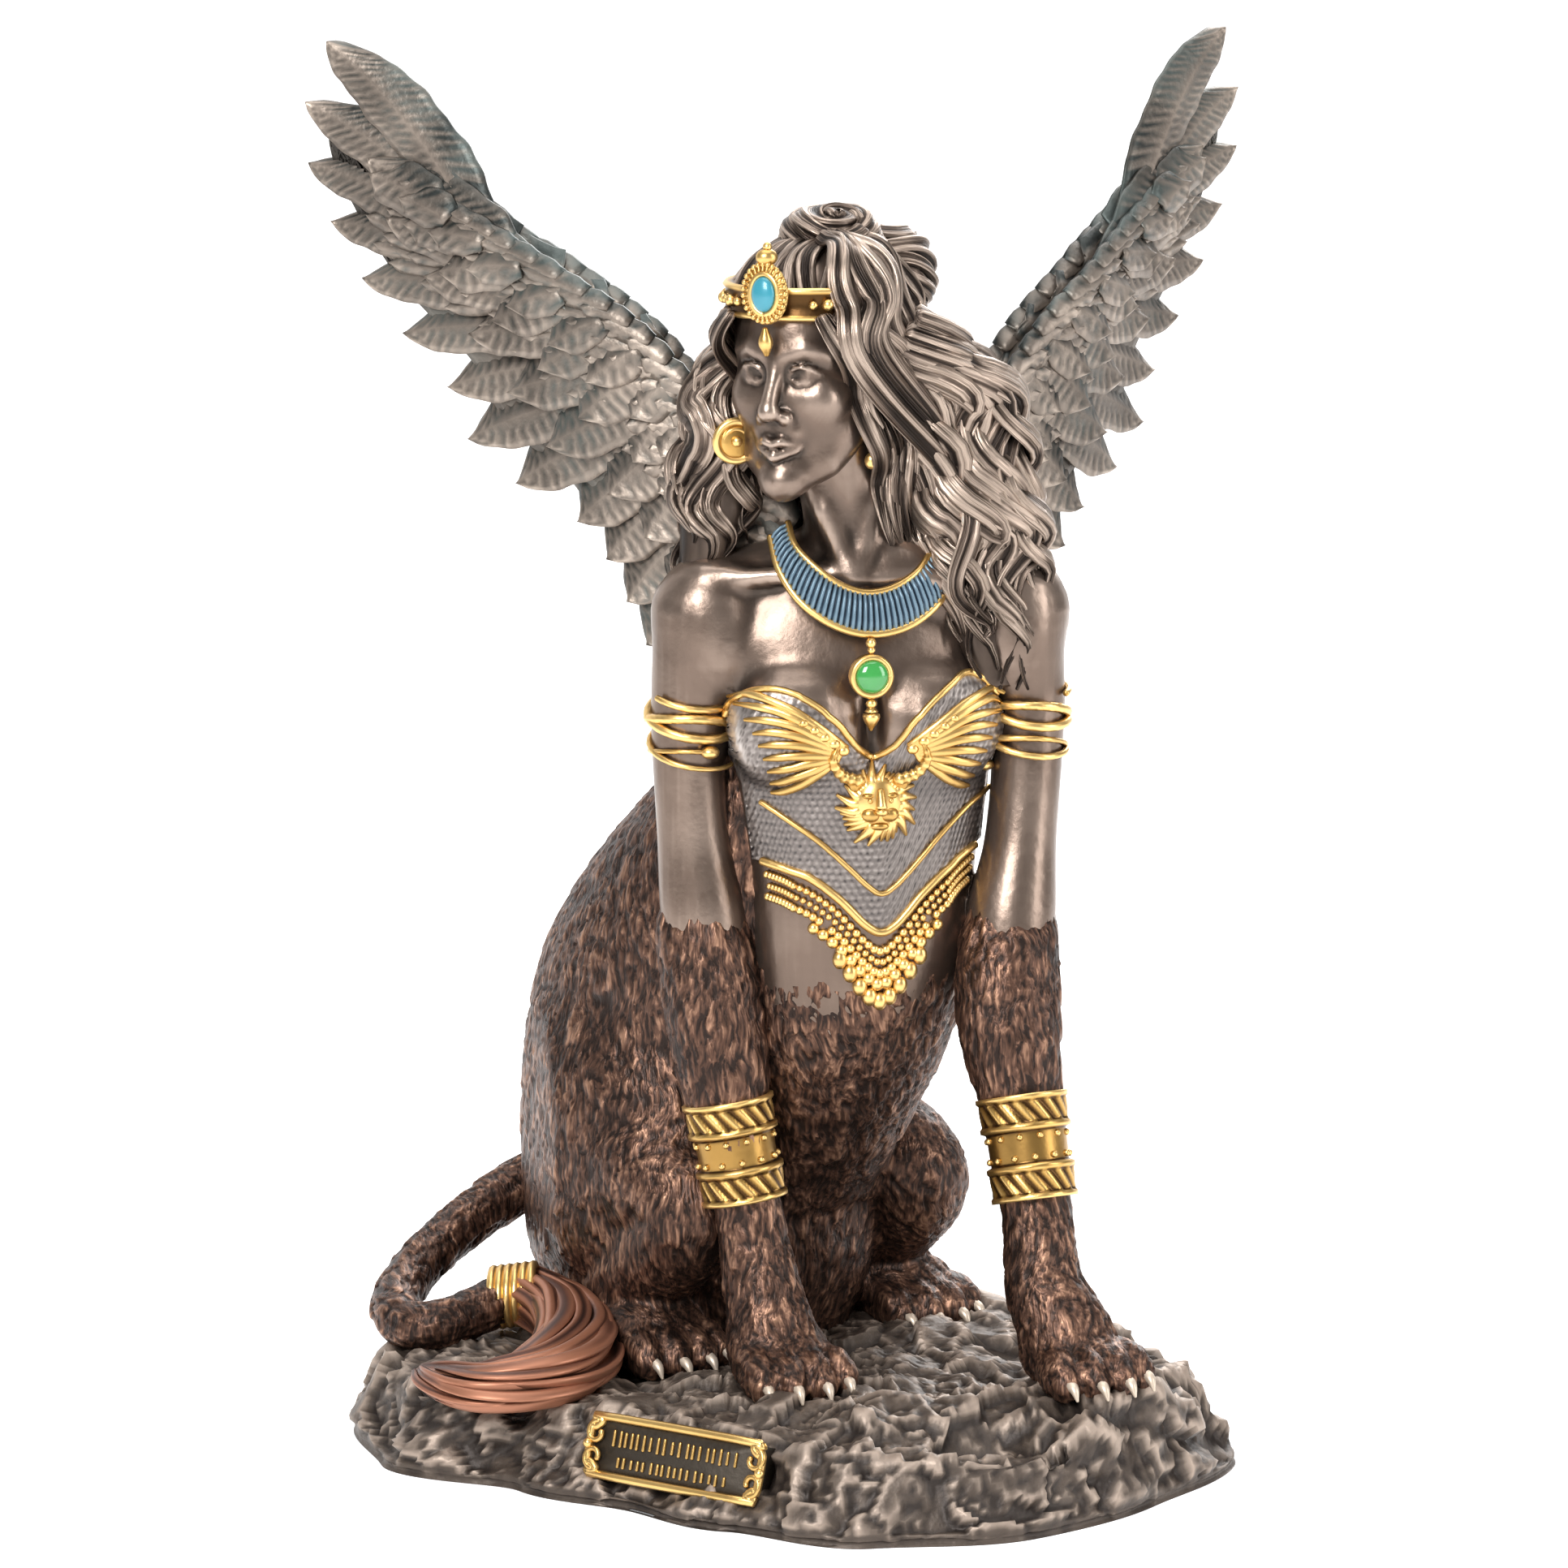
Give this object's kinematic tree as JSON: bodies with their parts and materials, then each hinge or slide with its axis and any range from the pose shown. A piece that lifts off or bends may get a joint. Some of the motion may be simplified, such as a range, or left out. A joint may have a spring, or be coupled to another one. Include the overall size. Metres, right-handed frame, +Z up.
{
  "type": "sphinx statue",
  "caption": "Seated winged sphinx with a jewelled woman's bust, on a rocky oval base.",
  "frame": {"origin": "middle of the base's flat underside", "axes": "+Z up, -Y the way the chest faces, +X towards the figure's left hand"},
  "size_m": [0.1678, 0.1419, 0.238],
  "materials": {
    "bronze": "satin cold-cast bronze with a dark patina in the hollows",
    "fur_bronze": "dark red-brown patina, rubbed on the ridges of the fur",
    "gilt": "hand-painted dull gold",
    "blue_enamel": "blue metallic paint",
    "turquoise": "glossy turquoise cabochon",
    "green_stone": "glossy green cabochon",
    "rock": "rough cast rock, dark with rubbed edges"
  },
  "bodies": {
    "root": {"sphinx_statue": "bronze"}
  },
  "joints": []
}
